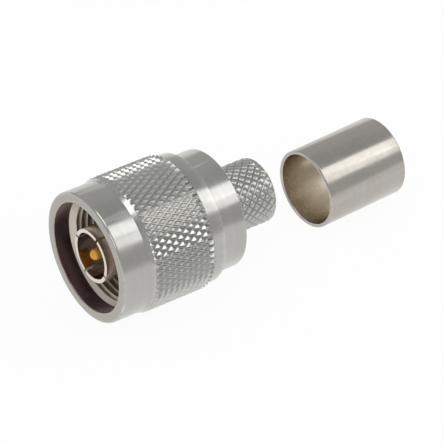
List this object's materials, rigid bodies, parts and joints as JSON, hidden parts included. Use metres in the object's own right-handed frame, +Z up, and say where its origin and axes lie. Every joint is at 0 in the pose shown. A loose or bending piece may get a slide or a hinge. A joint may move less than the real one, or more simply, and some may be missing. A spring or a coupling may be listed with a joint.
{
  "type": "n type connector",
  "caption": "Straight N type cable plug with a knurled coupling nut that turns, slotted outer contact, gold centre pin, knurled crimp stem and a loose crimp ferrule.",
  "frame": {"origin": "on the plug's axis in the mating plane, at the tip of the outer contact", "axes": "+X along the plug's axis from the mouth to the cable end, +Z up from the surface that the plug and the ferrule lie on, which is at z = -10.3 mm"},
  "size_m": [0.0538, 0.0206, 0.0206],
  "materials": {
    "nut_nickel": "turned and knurled brass, bright nickel plated",
    "contact_nickel": "turned bronze, nickel plated",
    "body_nickel": "turned and knurled brass, bright nickel plated",
    "spring_bronze": "bare spring bronze",
    "silicone": "matt moulded silicone",
    "ptfe": "white PTFE",
    "gold": "gold plated brass",
    "ferrule_nickel": "drawn tube, satin nickel plated"
  },
  "bodies": {
    "connector": {"crimp_body": "body_nickel", "outer_contact": "contact_nickel", "centre_pin": "gold", "front_insulator": "ptfe", "rear_insulator": "ptfe", "gasket": "silicone", "retaining_ring": "spring_bronze", "crimp_ferrule": "ferrule_nickel"},
    "nut": {"coupling_nut": "nut_nickel"}
  },
  "joints": [
    {"name": "nut_spin", "type": "hinge", "parent": "connector", "child": "nut", "pos_m": [0, 0, 0], "axis": [1, 0, 0], "continuous": true}
  ]
}
